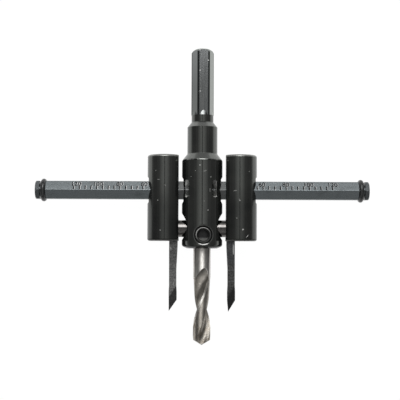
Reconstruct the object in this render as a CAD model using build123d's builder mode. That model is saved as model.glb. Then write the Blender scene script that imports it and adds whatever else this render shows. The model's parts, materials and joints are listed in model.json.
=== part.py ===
# Drywall circle cutter with two blades on a hexagonal cross bar.
# It lies on its back: +Y runs up the tool's axis to the shank, +X along the cross bar,
# and +Z from the surface it lies on to its front. Sizes are in millimetres, angles in degrees.
from build123d import *
import math
import os

os.makedirs("parts", exist_ok=True)

# Clearances
running_gap = 0.05  # bar in its hexagonal holes, on each side
thread_gap = 0.04  # screw in its tapped hole, on the radius
bore_gap = 0.04  # pilot drill in its bore, on the radius
blade_gap = 0.04  # blade in its channel
seat_gap = 0.03  # screw point to the piece that it clamps
tool_allowance = 2.0  # how far a cutter runs out past a surface

# Main body, turned from one bar: body, shoulder, collar, neck and hexagonal shank
body_diameter = 17.7
body_below_bar = 25.2
body_above_bar = 13.05
body_end_taper_width = 2.3
body_end_taper_height = 1.0
body_end_rounding = 1.2
body_top_chamfer = 0.35
collar_diameter = 13.15
shoulder_height = 2.85
collar_length = 11.7
neck_diameter = 9.6
collar_chamfer_height = 2.2
neck_length = 3.05
shank_across_flats = 8.6
shank_length = 29.3
shank_turn = 6.3  # how far the front flat is turned to the right
shank_edge_rounding = 0.4
shank_crown_width = 2.75  # the shank's end is turned to a crown, over this much of its radius
shank_crown_height = 2.1
shank_crown_radius = 3.1
shank_foot_cone_width = 0.3
shank_foot_cone_height = 2.0

# Seats on the body's two sides, where the bar comes out
body_seat_diameter = 12.0
body_seat_depth = 0.7

# Windows in the body's front, over the bar
window_width = 3.4
window_height = 7.5
window_turns = (-51.0, 39.5)
window_above_bar = 0.5
window_floor = 3.0  # distance of the window's floor from the tool's axis

# Cross bar, with a corner of its hexagon to the front
bar_across_flats = 7.75
bar_edge_rounding = 0.25
bar_length = 144.9
bar_end_chamfer = 0.7
bar_end_collar = 1.8
groove_width = 2.8
ring_thickness = 2.2
ring_hole_diameter = 5.5

# Holders that slide on the bar: round bars with a flat towards the body
holder_diameter = 15.0
holder_flat = 6.1  # distance of the flat from the holder's axis
holder_above_bar = 15.4
holder_below_bar = 22.0
holder_rounding = 1.0
holder_to_body = 1.4
holder_seat_diameter = 12.0
holder_seat_depth = 0.65

# Blades, flat bars with a forked upper end
blade_thickness = 3.6
blade_width = 6.0
blade_from_holder_axis = 2.15
blade_top = -13.0
blade_relief_start = -24.0
blade_relief_end = -34.0
blade_relief = 0.5
blade_taper_start = -26.0
blade_tip_width = 3.0
blade_bevel_start = -41.3
blade_bevel_slope = 2.5
blade_bevel_depth = 1.4
blade_flare = 0.15  # the cutting end is wider than the blade by this on each side
blade_tip = -52.4
blade_tip_slant = 4.85
blade_tip_set = 0.45
blade_slot_gap = 0.25

# Screws that clamp the blades: tall round heads with hexagonal sockets
blade_screw_level = -16.6
head_diameter = 7.4
head_length = 5.0
head_chamfer = 0.4
blade_stem_diameter = 3.8
blade_stem_length = 9.0
head_pocket_diameter = 8.2
head_pocket_depth = 0.55
head_recess_level = -15.8
head_recess_diameter = 12.0
head_recess_gap = 0.35
key_across_flats = 4.0
head_key_depth = 2.6

# Pilot drill
drill_diameter = 7.6
drill_reach = 41.7
drill_socket_depth = 18.0
drill_end_gap = 0.4
drill_end_chamfer = 0.5
drill_flat_depth = 0.7
drill_flat_below_screw = 4.5
drill_pitch = 55.0
waist_above_tip = 14.6  # where the flutes face the two sides
drill_point_angle = 118.0
drill_web = 1.7
flute_radius = 3.6
margin_width = 0.9
margin_step = 0.15
heel_relief = 0.6  # how far the back edge of a land lies inside the drill's circle
fluted_length = 26.8  # from the tip up to the end of the full flutes
land_cone_length = 2.4
runout_start = 25.0  # from the tip up to where the flutes' grinding wheel starts to rise
runout_wheel_radius = 36.0
runout_groove_radius = 3.4
runout_wheel_tilt = 33.0
runout_step = 0.05  # how far the wheel cuts below the flute's floor before it rises

# Set screw of the pilot drill, in a countersunk hole
pilot_screw_level = -19.4
pilot_screw_turn = 4.0  # how far its hole is turned to the right
pilot_screw_diameter = 7.0
pilot_screw_length = 4.7
pilot_screw_chamfer = 0.35
pilot_countersink_depth = 1.7
pilot_countersink_angle = 60.0
pilot_key_depth = 2.6
pilot_key_countersink = 0.9

# Set screws at the back, which lock the bar in the body and the holders on the bar
lock_screw_diameter = 5.6
lock_screw_length = 4.0
lock_screw_chamfer = 0.4
lock_key_across_flats = 3.0
lock_key_depth = 1.8

# Worked out from the sizes above
body_radius = body_diameter / 2
collar_radius = collar_diameter / 2
neck_radius = neck_diameter / 2
drill_radius = drill_diameter / 2
holder_radius = holder_diameter / 2
shoulder_top = body_above_bar + shoulder_height
collar_top = shoulder_top + collar_length
neck_foot = collar_top + collar_chamfer_height
shank_foot = neck_foot + neck_length
shank_end = shank_foot + shank_length
shank_corner_radius = shank_across_flats / math.sqrt(3)
drill_tip = -body_below_bar - drill_reach
bar_corner_radius = bar_across_flats / math.sqrt(3)
bar_hole_across_flats = bar_across_flats + 2 * running_gap
groove_inner_end = bar_length / 2 - bar_end_collar - groove_width
holder_offset = body_radius + holder_to_body + holder_flat
blade_inner_face = blade_from_holder_axis + blade_thickness
head_end_offset = holder_offset - blade_inner_face - head_length

# The origin is on the surface under the middle of the whole tool
axis_height = body_radius
bar_level = -(shank_end + drill_tip) / 2

front = Plane(origin=(0, bar_level, axis_height), x_dir=(1, 0, 0), z_dir=(0, 0, 1))
tool_axis = Axis((0, bar_level, axis_height), (0, 1, 0))
bar_axis = Axis((0, bar_level, axis_height), (1, 0, 0))


def facing_out(turn, along, height):
    """A plane that looks away from the tool's axis, turned about it from the front to the right."""
    out = Vector(math.sin(math.radians(turn)), 0, math.cos(math.radians(turn)))
    place = Vector(0, bar_level + along, axis_height) + out * height
    return Plane(origin=place, x_dir=(out.Z, 0, -out.X), z_dir=out)


def facing_back(across, along, height):
    """A plane that looks to the surface that the tool lies on, placed from where the axes cross."""
    place = (across, bar_level + along, axis_height + height)
    return Plane(origin=place, x_dir=(1, 0, 0), z_dir=(0, 0, -1))


def facing_side(across, along, way=1):
    """A plane across the bar. Its x runs up the tool's axis; way is 1 for +X, -1 for -X."""
    place = (across, bar_level + along, axis_height)
    return Plane(origin=place, x_dir=(0, 1, 0), z_dir=(way, 0, 0))


def facing_shank(across, along):
    """A plane across the tool's axis, looking to the shank."""
    place = (across, bar_level + along, axis_height)
    return Plane(origin=place, x_dir=(1, 0, 0), z_dir=(0, 1, 0))


# Main body
with BuildPart() as main_body:
    with BuildSketch(front):
        with BuildLine():
            Polyline(
                (0, -body_below_bar),
                (body_radius - body_end_taper_width, -body_below_bar),
                (body_radius, -body_below_bar + body_end_taper_height),
                (body_radius, body_above_bar),
                (collar_radius, shoulder_top),
                (collar_radius, collar_top),
                (neck_radius, neck_foot),
                (neck_radius, shank_foot),
                (0, shank_foot),
                close=True,
            )
        make_face()
    revolve(axis=tool_axis)
    end_rims = main_body.edges().filter_by(GeomType.CIRCLE).sort_by(Axis.Y)
    fillet(end_rims[0:2], body_end_rounding)
    body_rims = main_body.edges().filter_by(GeomType.CIRCLE).filter_by(lambda e: e.radius > body_radius - 0.01)
    chamfer(body_rims.sort_by(Axis.Y)[-1], body_top_chamfer)

    # Hexagonal shank, with a cone at its foot and a crown at its end
    with BuildSketch(facing_shank(0, shank_foot)):
        shank_section = RegularPolygon(shank_across_flats / 2, 6, major_radius=False, rotation=shank_turn)
        fillet(shank_section.vertices(), shank_edge_rounding)
    extrude(amount=shank_length)
    shank_flat_radius = shank_across_flats / 2
    with BuildSketch(front):
        with BuildLine():
            Polyline(
                (0, shank_foot),
                (shank_flat_radius + shank_foot_cone_width, shank_foot),
                (shank_flat_radius, shank_foot + shank_foot_cone_height),
                (0, shank_foot + shank_foot_cone_height),
                close=True,
            )
        make_face()
    revolve(axis=tool_axis)
    crown_top = (shank_corner_radius - shank_crown_width, shank_end)
    crown_foot = (shank_corner_radius, shank_end - shank_crown_height)
    with BuildSketch(front):
        with BuildLine():
            RadiusArc(crown_top, crown_foot, shank_crown_radius)
            Polyline(
                crown_foot,
                (shank_corner_radius + tool_allowance, crown_foot[1]),
                (shank_corner_radius + tool_allowance, shank_end + tool_allowance),
                (crown_top[0], shank_end + tool_allowance),
                crown_top,
            )
        make_face()
    revolve(axis=tool_axis, mode=Mode.SUBTRACT)

    # Hexagonal hole for the bar, and the flat seat round each of its mouths
    with BuildSketch(facing_side(-body_radius - tool_allowance, 0)):
        RegularPolygon(bar_hole_across_flats / 2, 6, major_radius=False, rotation=30)
    extrude(amount=2 * (body_radius + tool_allowance), mode=Mode.SUBTRACT)
    for way in (-1, 1):
        with BuildSketch(facing_side(way * (body_radius - body_seat_depth), 0, way)):
            Circle(body_seat_diameter / 2)
        extrude(amount=body_seat_depth + tool_allowance, mode=Mode.SUBTRACT)
        with BuildSketch(facing_side(way * (head_end_offset - head_recess_gap), head_recess_level, way)):
            Circle(head_recess_diameter / 2)
        extrude(amount=body_radius, mode=Mode.SUBTRACT)

    # Windows on the bar
    for turn in window_turns:
        with BuildSketch(facing_out(turn, window_above_bar, window_floor)):
            SlotOverall(window_height, window_width, rotation=90)
        extrude(amount=body_radius, mode=Mode.SUBTRACT)

    # Bore for the pilot drill, and the tapped holes of its set screw and the bar's
    with BuildSketch(facing_shank(0, -body_below_bar)):
        Circle(drill_radius + bore_gap)
    extrude(amount=drill_socket_depth, mode=Mode.SUBTRACT)
    pilot_hole_radius = pilot_screw_diameter / 2 + thread_gap
    with BuildSketch(facing_out(pilot_screw_turn, pilot_screw_level, 0)):
        Circle(pilot_hole_radius)
    extrude(amount=body_radius + tool_allowance, mode=Mode.SUBTRACT)
    countersink_height = pilot_countersink_depth + tool_allowance
    countersink_slope = math.tan(math.radians(pilot_countersink_angle / 2))
    with Locations(facing_out(pilot_screw_turn, pilot_screw_level, body_radius - pilot_countersink_depth)):
        Cone(
            pilot_hole_radius,
            pilot_hole_radius + countersink_height * countersink_slope,
            countersink_height,
            align=(Align.CENTER, Align.CENTER, Align.MIN),
            mode=Mode.SUBTRACT,
        )
    with BuildSketch(facing_back(0, 0, 0)):
        Circle(lock_screw_diameter / 2 + thread_gap)
    extrude(amount=body_radius + tool_allowance, mode=Mode.SUBTRACT)
main_body.part.label = "main_body"
export_step(main_body.part, "parts/main_body.step")

# Cross bar, with a turned groove near each end
with BuildPart() as cross_bar:
    with BuildSketch(facing_side(-bar_length / 2, 0)):
        bar_section = RegularPolygon(bar_across_flats / 2, 6, major_radius=False, rotation=30)
        fillet(bar_section.vertices(), bar_edge_rounding)
    extrude(amount=bar_length)
    for way in (-1, 1):
        with BuildSketch(front):
            with BuildLine():
                Polyline(
                    (way * (bar_length / 2 - bar_end_chamfer), bar_corner_radius),
                    (way * bar_length / 2, bar_corner_radius - bar_end_chamfer),
                    (way * (bar_length / 2 + tool_allowance), bar_corner_radius - bar_end_chamfer),
                    (way * (bar_length / 2 + tool_allowance), bar_corner_radius + tool_allowance),
                    (way * (bar_length / 2 - bar_end_chamfer), bar_corner_radius + tool_allowance),
                    close=True,
                )
            make_face()
            with BuildLine():
                Polyline(
                    (way * groove_inner_end, ring_hole_diameter / 2),
                    (way * (groove_inner_end + groove_width), ring_hole_diameter / 2),
                    (way * (groove_inner_end + groove_width), bar_corner_radius + tool_allowance),
                    (way * groove_inner_end, bar_corner_radius + tool_allowance),
                    close=True,
                )
            make_face()
        revolve(axis=bar_axis, mode=Mode.SUBTRACT)
cross_bar.part.label = "cross_bar"
export_step(cross_bar.part, "parts/cross_bar.step")

# Pilot drill: two right-hand flutes, a plain shank with a flat for its screw, and a point.
# Its section has two lands, each with a raised margin along its leading edge, and they
# fall away to their back edges.
flute_centre = drill_web / 2 + flute_radius
land_radius = drill_radius - margin_step
heel_radius = drill_radius - heel_relief


def flute_meets(radius):
    """Angle from the middle of a flute to its edge on a circle about the drill's axis."""
    side = radius**2 + flute_centre**2 - flute_radius**2
    return math.degrees(math.acos(side / (2 * radius * flute_centre)))


def on_circle(radius, angle):
    return radius * math.cos(math.radians(angle)), radius * math.sin(math.radians(angle))


margin_start = flute_meets(drill_radius) - 90
margin_end = margin_start + math.degrees(margin_width / drill_radius)
land_end = 90 - flute_meets(heel_radius)
with BuildSketch(facing_shank(0, drill_tip)) as drill_section:
    with BuildLine():
        for turn in (0, 180):
            flute_floor = (0, drill_web / 2) if turn == 0 else (0, -drill_web / 2)
            ThreePointArc(
                on_circle(drill_radius, turn + margin_start),
                on_circle(drill_radius, turn + (margin_start + margin_end) / 2),
                on_circle(drill_radius, turn + margin_end),
            )
            Line(on_circle(drill_radius, turn + margin_end), on_circle(land_radius, turn + margin_end))
            ThreePointArc(
                on_circle(land_radius, turn + margin_end),
                on_circle((2 * land_radius + heel_radius) / 3, turn + (margin_end + land_end) / 2),
                on_circle(heel_radius, turn + land_end),
            )
            ThreePointArc(
                on_circle(heel_radius, turn + land_end),
                flute_floor,
                on_circle(drill_radius, turn + 180 + margin_start),
            )
    make_face()
margin_length = fluted_length + land_cone_length
twisted_flutes = Solid.extrude_linear_with_rotation(
    drill_section.sketch.face(),
    center=(0, bar_level + drill_tip, axis_height),
    normal=(0, margin_length, 0),
    angle=360 * margin_length / drill_pitch,
)
with BuildPart() as pilot_drill:
    add(twisted_flutes.rotate(tool_axis, 90 - 360 * waist_above_tip / drill_pitch))
    # The plain shank, which the relief of the lands meets in a short cone
    flutes_top = drill_tip + fluted_length
    shank_top = -body_below_bar + drill_socket_depth - drill_end_gap
    with BuildSketch(front):
        with BuildLine():
            Polyline(
                (0, flutes_top),
                (heel_radius, flutes_top),
                (drill_radius, flutes_top + land_cone_length),
                (drill_radius, shank_top - drill_end_chamfer),
                (drill_radius - drill_end_chamfer, shank_top),
                (0, shank_top),
                close=True,
            )
        make_face()
    revolve(axis=tool_axis)
    # Each flute rises out of the drill in the round of the wheel that ground it
    wheel_tilt = math.radians(runout_wheel_tilt)
    flute_turn = 360 * (runout_start - waist_above_tip) / drill_pitch - 90
    for turn in (flute_turn, flute_turn + 180):
        wheel_offset = drill_web / 2 - runout_step + runout_wheel_radius
        wheel_seat = facing_out(turn, drill_tip + runout_start, wheel_offset)
        wheel_axis = wheel_seat.x_dir * math.cos(wheel_tilt) - Vector(0, math.sin(wheel_tilt), 0)
        with Locations(Plane(origin=wheel_seat.origin, x_dir=-wheel_seat.z_dir, z_dir=wheel_axis)):
            Torus(
                runout_wheel_radius - runout_groove_radius,
                runout_groove_radius,
                major_angle=90,
                align=Align.NONE,
                mode=Mode.SUBTRACT,
            )
    # Point
    point_height = drill_radius / math.tan(math.radians(drill_point_angle / 2))
    with BuildSketch(front):
        with BuildLine():
            Polyline(
                (0, drill_tip),
                (2 * drill_radius, drill_tip + 2 * point_height),
                (2 * drill_radius, drill_tip - tool_allowance),
                (0, drill_tip - tool_allowance),
                close=True,
            )
        make_face()
    revolve(axis=tool_axis, mode=Mode.SUBTRACT)
    # Flat under the set screw, open at the top so that the drill can be drawn out
    flat_foot = pilot_screw_level - drill_flat_below_screw
    flat_length = shank_top - flat_foot
    with BuildSketch(facing_out(pilot_screw_turn, flat_foot + flat_length / 2, drill_radius - drill_flat_depth)):
        Rectangle(drill_diameter, flat_length)
    extrude(amount=drill_radius, mode=Mode.SUBTRACT)
pilot_drill.part.label = "pilot_drill"
export_step(pilot_drill.part, "parts/pilot_drill.step")

# Set screw of the pilot drill, at the front, with a countersunk hexagonal socket
screw_point = facing_out(pilot_screw_turn, pilot_screw_level, drill_radius - drill_flat_depth + seat_gap)
screw_axis = Axis(screw_point.origin, screw_point.z_dir)
screw_face = screw_point.offset(pilot_screw_length)
with BuildPart() as pilot_screw:
    with BuildSketch(screw_point):
        Circle(pilot_screw_diameter / 2)
    extrude(amount=pilot_screw_length)
    chamfer(pilot_screw.edges().group_by(screw_axis)[0], pilot_screw_chamfer)
    chamfer(pilot_screw.edges().group_by(screw_axis)[-1], pilot_screw_chamfer)
    with BuildSketch(screw_face.offset(-pilot_key_depth)):
        RegularPolygon(key_across_flats / 2, 6, major_radius=False)
    extrude(amount=pilot_key_depth, mode=Mode.SUBTRACT)
    with Locations(screw_face.offset(-pilot_key_countersink)):
        Cone(
            key_across_flats / 2,
            key_across_flats / 2 + pilot_key_countersink,
            pilot_key_countersink,
            align=(Align.CENTER, Align.CENTER, Align.MIN),
            mode=Mode.SUBTRACT,
        )
pilot_screw.part.label = "pilot_screw"
export_step(pilot_screw.part, "parts/pilot_screw.step")


# Set screws at the back: one in the body, one in each holder
for name, across in (
    ("bar_lock_screw", 0),
    ("left_lock_screw", -holder_offset),
    ("right_lock_screw", holder_offset),
):
    with BuildPart() as lock_screw:
        with BuildSketch(facing_back(across, 0, -bar_corner_radius - seat_gap)):
            Circle(lock_screw_diameter / 2)
        extrude(amount=lock_screw_length)
        chamfer(lock_screw.edges().group_by(Axis.Z)[0], lock_screw_chamfer)
        chamfer(lock_screw.edges().group_by(Axis.Z)[-1], lock_screw_chamfer)
        key_floor = -bar_corner_radius - seat_gap - lock_screw_length + lock_key_depth
        with BuildSketch(facing_back(across, 0, key_floor)):
            RegularPolygon(lock_key_across_flats / 2, 6, major_radius=False)
        extrude(amount=lock_key_depth, mode=Mode.SUBTRACT)
    lock_screw.part.label = name
    export_step(lock_screw.part, f"parts/{name}.step")

# What comes twice, left and right of the body
for side, way in (("left", -1), ("right", 1)):
    holder_x = way * holder_offset
    inward = -way

    # Ring that keeps the holder on the bar
    with BuildPart() as end_ring:
        ring_centre = groove_inner_end + ring_thickness / 2 + seat_gap
        with BuildSketch(front):
            with Locations((way * ring_centre, ring_hole_diameter / 2 + ring_thickness / 2 + seat_gap)):
                Circle(ring_thickness / 2)
        revolve(axis=bar_axis)
    end_ring.part.label = f"{side}_end_ring"
    export_step(end_ring.part, f"parts/{side}_end_ring.step")

    # Holder
    with BuildPart() as holder:
        with BuildSketch(facing_shank(holder_x, -holder_below_bar)):
            Circle(holder_radius)
        extrude(amount=holder_below_bar + holder_above_bar)
        fillet(holder.edges().filter_by(GeomType.CIRCLE), holder_rounding)
        split(bisect_by=Plane(origin=(holder_x + inward * holder_flat, 0, 0), z_dir=(way, 0, 0)))
        with BuildSketch(facing_side(holder_x - holder_diameter, 0)):
            RegularPolygon(bar_hole_across_flats / 2, 6, major_radius=False, rotation=30)
        extrude(amount=2 * holder_diameter, mode=Mode.SUBTRACT)
        # Seat for the ring on the outer side
        with BuildSketch(facing_side(holder_x + way * (holder_radius - holder_seat_depth), 0, way)):
            Circle(holder_seat_diameter / 2)
        extrude(amount=holder_seat_depth + tool_allowance, mode=Mode.SUBTRACT)
        # Channel for the blade, open to the inner side and to the bottom
        channel_floor = blade_from_holder_axis - blade_gap
        channel_height = holder_below_bar + blade_top + blade_gap
        with BuildSketch(facing_side(holder_x + inward * channel_floor, -holder_below_bar, inward)):
            with Locations((channel_height / 2, 0)):
                Rectangle(channel_height, blade_width + 2 * blade_gap)
        extrude(amount=holder_radius, mode=Mode.SUBTRACT)
        # Pocket of the screw's head, and its tapped hole
        pocket_floor = holder_flat - head_pocket_depth
        with BuildSketch(facing_side(holder_x + inward * pocket_floor, blade_screw_level, inward)):
            Circle(head_pocket_diameter / 2)
        extrude(amount=head_pocket_depth + tool_allowance, mode=Mode.SUBTRACT)
        stem_end = blade_inner_face - blade_stem_length
        with BuildSketch(facing_side(holder_x + inward * (stem_end - seat_gap), blade_screw_level, inward)):
            Circle(blade_stem_diameter / 2 + thread_gap)
        extrude(amount=blade_stem_length, mode=Mode.SUBTRACT)
        with BuildSketch(facing_back(holder_x, 0, 0)):
            Circle(lock_screw_diameter / 2 + thread_gap)
        extrude(amount=holder_radius + tool_allowance, mode=Mode.SUBTRACT)
    holder.part.label = f"{side}_holder"
    export_step(holder.part, f"parts/{side}_holder.step")

    # Clamp screw of the blade
    with BuildPart() as blade_screw:
        head_seat = holder_x + inward * blade_inner_face
        with BuildSketch(facing_side(head_seat, blade_screw_level, inward)):
            Circle(head_diameter / 2)
        extrude(amount=head_length)
        head_rim = blade_screw.edges().filter_by(GeomType.CIRCLE).sort_by(Axis.X)
        chamfer(head_rim[-1] if inward > 0 else head_rim[0], head_chamfer)
        with BuildSketch(facing_side(head_seat, blade_screw_level, way)):
            Circle(blade_stem_diameter / 2)
        extrude(amount=blade_stem_length)
        key_floor = head_seat + inward * (head_length - head_key_depth)
        with BuildSketch(facing_side(key_floor, blade_screw_level, inward)):
            RegularPolygon(key_across_flats / 2, 6, major_radius=False)
        extrude(amount=head_key_depth, mode=Mode.SUBTRACT)
    blade_screw.part.label = f"{side}_blade_screw"
    export_step(blade_screw.part, f"parts/{side}_blade_screw.step")

    # Blade. Both points are on the left: the left blade cuts the outer edge of the
    # groove and the right blade its inner edge.
    outer_x = holder_x + inward * blade_from_holder_axis
    inner_x = holder_x + inward * blade_inner_face
    relieved_x = inner_x - inward * blade_relief
    flare_foot = blade_bevel_start - blade_bevel_slope
    upper_end = [
        (outer_x, blade_bevel_start),
        (outer_x, blade_top),
        (inner_x, blade_top),
        (inner_x, blade_relief_start),
        (relieved_x, blade_relief_end),
        (relieved_x, blade_bevel_start),
    ]
    inner_flare_x = relieved_x + inward * blade_flare
    outer_flare_x = outer_x - inward * blade_flare
    if side == "left":
        point_x = outer_flare_x
        heel_x = inner_flare_x
        cutting_end = [
            (heel_x, flare_foot),
            (heel_x, blade_tip + blade_tip_slant),
            (point_x, blade_tip),
            (point_x, flare_foot),
        ]
    else:
        point_x = inner_flare_x
        heel_x = outer_flare_x
        cutting_end = [
            (point_x, flare_foot),
            (point_x, blade_tip + blade_tip_slant),
            (point_x + blade_tip_set, blade_tip),
            (heel_x, blade_tip + blade_tip_slant),
            (heel_x, flare_foot),
        ]
    with BuildPart() as blade:
        with BuildSketch(front):
            with BuildLine():
                Polyline(*upper_end, *cutting_end, close=True)
            make_face()
        extrude(amount=blade_width / 2, both=True)
        # Fork that straddles the screw's stem
        slot_width = blade_stem_diameter + 2 * running_gap
        slot_foot = blade_screw_level - blade_stem_diameter / 2 - blade_slot_gap
        slot_length = blade_top + tool_allowance - slot_foot
        with BuildSketch(facing_side(holder_x - holder_diameter, slot_foot + slot_length / 2)):
            SlotOverall(slot_length, slot_width)
        extrude(amount=2 * holder_diameter, mode=Mode.SUBTRACT)
        # The trailing side is ground back to a narrow point: it faces the front on the
        # left blade and the back on the right one
        trailing = -way
        narrowed = blade_width / 2 - blade_tip_width
        with BuildSketch(facing_side(holder_x - holder_diameter, 0)):
            with BuildLine():
                Polyline(
                    (blade_taper_start, trailing * blade_width / 2),
                    (blade_tip, -trailing * narrowed),
                    (blade_tip, trailing * blade_width),
                    (blade_taper_start, trailing * blade_width),
                    close=True,
                )
            make_face()
        extrude(amount=2 * holder_diameter, mode=Mode.SUBTRACT)
        # Bevel across the front of the point, deeper towards the heel
        tip_front = blade_width / 2 if trailing < 0 else -narrowed
        slope_to_tip = (blade_width / 2 - tip_front) / (blade_taper_start - blade_tip)

        def front_of_blade(along):
            return tip_front + slope_to_tip * (along - blade_tip)

        on_point_side = Vector(point_x, flare_foot, front_of_blade(flare_foot))
        on_heel_side = Vector(heel_x, blade_bevel_start, front_of_blade(blade_bevel_start))
        at_tip = Vector(point_x, blade_tip, tip_front - blade_bevel_depth)
        bevel_normal = (on_heel_side - on_point_side).cross(at_tip - on_point_side)
        if bevel_normal.Z < 0:
            bevel_normal = -bevel_normal
        bevel_origin = on_point_side + Vector(0, bar_level, axis_height)
        split(bisect_by=Plane(origin=bevel_origin, z_dir=bevel_normal), keep=Keep.BOTTOM)
    blade.part.label = f"{side}_blade"
    export_step(blade.part, f"parts/{side}_blade.step")
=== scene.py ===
import json
import math
import bpy
from mathutils import Matrix, Vector


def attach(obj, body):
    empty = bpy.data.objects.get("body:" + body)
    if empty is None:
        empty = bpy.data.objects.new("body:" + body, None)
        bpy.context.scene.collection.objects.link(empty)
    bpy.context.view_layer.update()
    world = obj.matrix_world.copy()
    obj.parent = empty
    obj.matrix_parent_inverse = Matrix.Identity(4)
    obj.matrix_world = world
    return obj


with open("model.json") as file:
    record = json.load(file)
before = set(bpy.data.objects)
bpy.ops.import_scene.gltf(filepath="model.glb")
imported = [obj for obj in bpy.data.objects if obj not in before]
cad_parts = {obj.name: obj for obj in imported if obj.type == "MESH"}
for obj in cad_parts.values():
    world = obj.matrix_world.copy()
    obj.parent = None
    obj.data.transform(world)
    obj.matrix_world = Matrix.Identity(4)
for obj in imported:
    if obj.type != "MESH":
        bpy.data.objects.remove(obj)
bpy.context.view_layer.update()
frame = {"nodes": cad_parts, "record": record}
nodes = frame["nodes"]
print("scene: frame loaded")

# Places from the record, in metres: the bar runs along X, the drill and the shank along Y
mm = 0.001
joints = {joint["name"]: joint for joint in frame["record"]["behaviour"]["joints"]}
mounts = {mount["name"]: mount for mount in frame["record"]["mounts"]}
barY = joints["bar_lock_screw_turn"]["pos_m"][1]
axisZ = mounts["shank_end"]["pos_m"][2]
pilotPlace = tuple(joints["pilot_screw_turn"]["pos_m"])
pilotAxis = joints["pilot_screw_turn"]["axis"]
pilotTurn = (0, math.atan2(pilotAxis[0], pilotAxis[2]), 0)
toolTurn = (math.radians(90), 0, 0)  # lays the local Z axis along the tool


# Node helpers
def newMaterial(name):
    material = bpy.data.materials.new(name)
    material.use_nodes = True
    return material, material.node_tree, material.node_tree.nodes["Principled BSDF"]


def plug(tree, source, target):
    tree.links.new(source, target)


def feed(tree, target, value):
    if isinstance(value, (int, float)):
        target.default_value = value
    elif isinstance(value, tuple):
        target.default_value = (*value, 1.0)
    else:
        plug(tree, value, target)


def objectCoords(tree):
    return tree.nodes.new("ShaderNodeTexCoord").outputs["Object"]


def axesOf(tree, coords):
    made = tree.nodes.new("ShaderNodeSeparateXYZ")
    plug(tree, coords, made.inputs[0])
    return made.outputs


def mathNode(tree, operation, first, second=None, third=None):
    made = tree.nodes.new("ShaderNodeMath")
    made.operation = operation
    for index, value in enumerate((first, second, third)):
        if value is not None:
            feed(tree, made.inputs[index], value)
    return made.outputs[0]


def times(tree, first, second):
    return mathNode(tree, "MULTIPLY", first, second)


def plus(tree, first, second):
    return mathNode(tree, "ADD", first, second)


def minus(tree, first, second):
    return mathNode(tree, "SUBTRACT", first, second)


def larger(tree, first, second):
    return mathNode(tree, "MAXIMUM", first, second)


# 1 above a level, below it, and between two
def above(tree, value, level):
    return mathNode(tree, "GREATER_THAN", value, level)


def below(tree, value, level):
    return mathNode(tree, "LESS_THAN", value, level)


def within(tree, value, low, high):
    return times(tree, above(tree, value, low), below(tree, value, high))


def lengthOf(tree, vector):
    made = tree.nodes.new("ShaderNodeVectorMath")
    made.operation = "LENGTH"
    plug(tree, vector, made.inputs[0])
    return made.outputs["Value"]


# A pattern's coordinates, moved, turned and drawn out or squeezed along each axis
def mapping(tree, coords, scale=(1, 1, 1), turn=(0, 0, 0), place=(0, 0, 0), kind="POINT"):
    made = tree.nodes.new("ShaderNodeMapping")
    made.vector_type = kind
    made.inputs["Scale"].default_value = scale
    made.inputs["Rotation"].default_value = turn
    made.inputs["Location"].default_value = place
    plug(tree, coords, made.inputs["Vector"])
    return made.outputs[0]


def noise(tree, coords, scale, detail=3.0, roughness=0.5, stretch=None):
    made = tree.nodes.new("ShaderNodeTexNoise")
    made.inputs["Scale"].default_value = scale
    made.inputs["Detail"].default_value = detail
    made.inputs["Roughness"].default_value = roughness
    plug(tree, mapping(tree, coords, stretch) if stretch else coords, made.inputs["Vector"])
    return made.outputs["Fac"]


def rangeOf(tree, value, fromLow, fromHigh, toLow, toHigh, smooth=False):
    made = tree.nodes.new("ShaderNodeMapRange")
    made.interpolation_type = "SMOOTHSTEP" if smooth else "LINEAR"
    for index, number in zip((1, 2, 3, 4), (fromLow, fromHigh, toLow, toHigh)):
        made.inputs[index].default_value = number
    plug(tree, value, made.inputs[0])
    return made.outputs[0]


# A noise's usual values, stretched from one number to another
noiseSpan = (0.3, 0.7)


def spread(tree, pattern, low, high):
    return rangeOf(tree, pattern, *noiseSpan, low, high)


def mixColour(tree, factor, first, second):
    made = tree.nodes.new("ShaderNodeMix")
    made.data_type = "RGBA"
    feed(tree, made.inputs[0], factor)
    feed(tree, made.inputs[6], first)
    feed(tree, made.inputs[7], second)
    return made.outputs[2]


def mixNumber(tree, factor, first, second):
    made = tree.nodes.new("ShaderNodeMix")
    feed(tree, made.inputs[0], factor)
    feed(tree, made.inputs[2], first)
    feed(tree, made.inputs[3], second)
    return made.outputs[0]


def bump(tree, height, strength, distance):
    made = tree.nodes.new("ShaderNodeBump")
    made.inputs["Strength"].default_value = strength
    made.inputs["Distance"].default_value = distance
    plug(tree, height, made.inputs["Height"])
    return made.outputs[0]


# 1 close to any of the levels, fading from a share of the reach to 0 at the reach
def nearLevels(tree, value, levels, reach, core=0.4):
    near = None
    for level in levels:
        away = mathNode(tree, "ABSOLUTE", minus(tree, value, level))
        band = rangeOf(tree, away, core * reach, reach, 1, 0, True)
        near = band if near is None else larger(tree, near, band)
    return near


# Coordinates measured from a place, along axes that are turned and sized
def localTo(tree, coords, place, turn, size=(1, 1, 1)):
    return mapping(tree, coords, size, turn, place, "TEXTURE")


# How far a point is from the local Z axis, and from the tool's own
def fromAxis(tree, local):
    return lengthOf(tree, mapping(tree, local, (1, 1, 0)))


def fromTool(tree, coords):
    return fromAxis(tree, localTo(tree, coords, (0, 0, axisZ), toolTurn))


def onFront(tree, coords):
    return above(tree, axesOf(tree, coords)[2], axisZ)


# Small spots of wear and scratches on the front, a few of them painted highlights. Each has its x, y, half
# length and half width in mm, its turn in degrees and its strength
spotFade = (0.45, 1.15)


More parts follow.
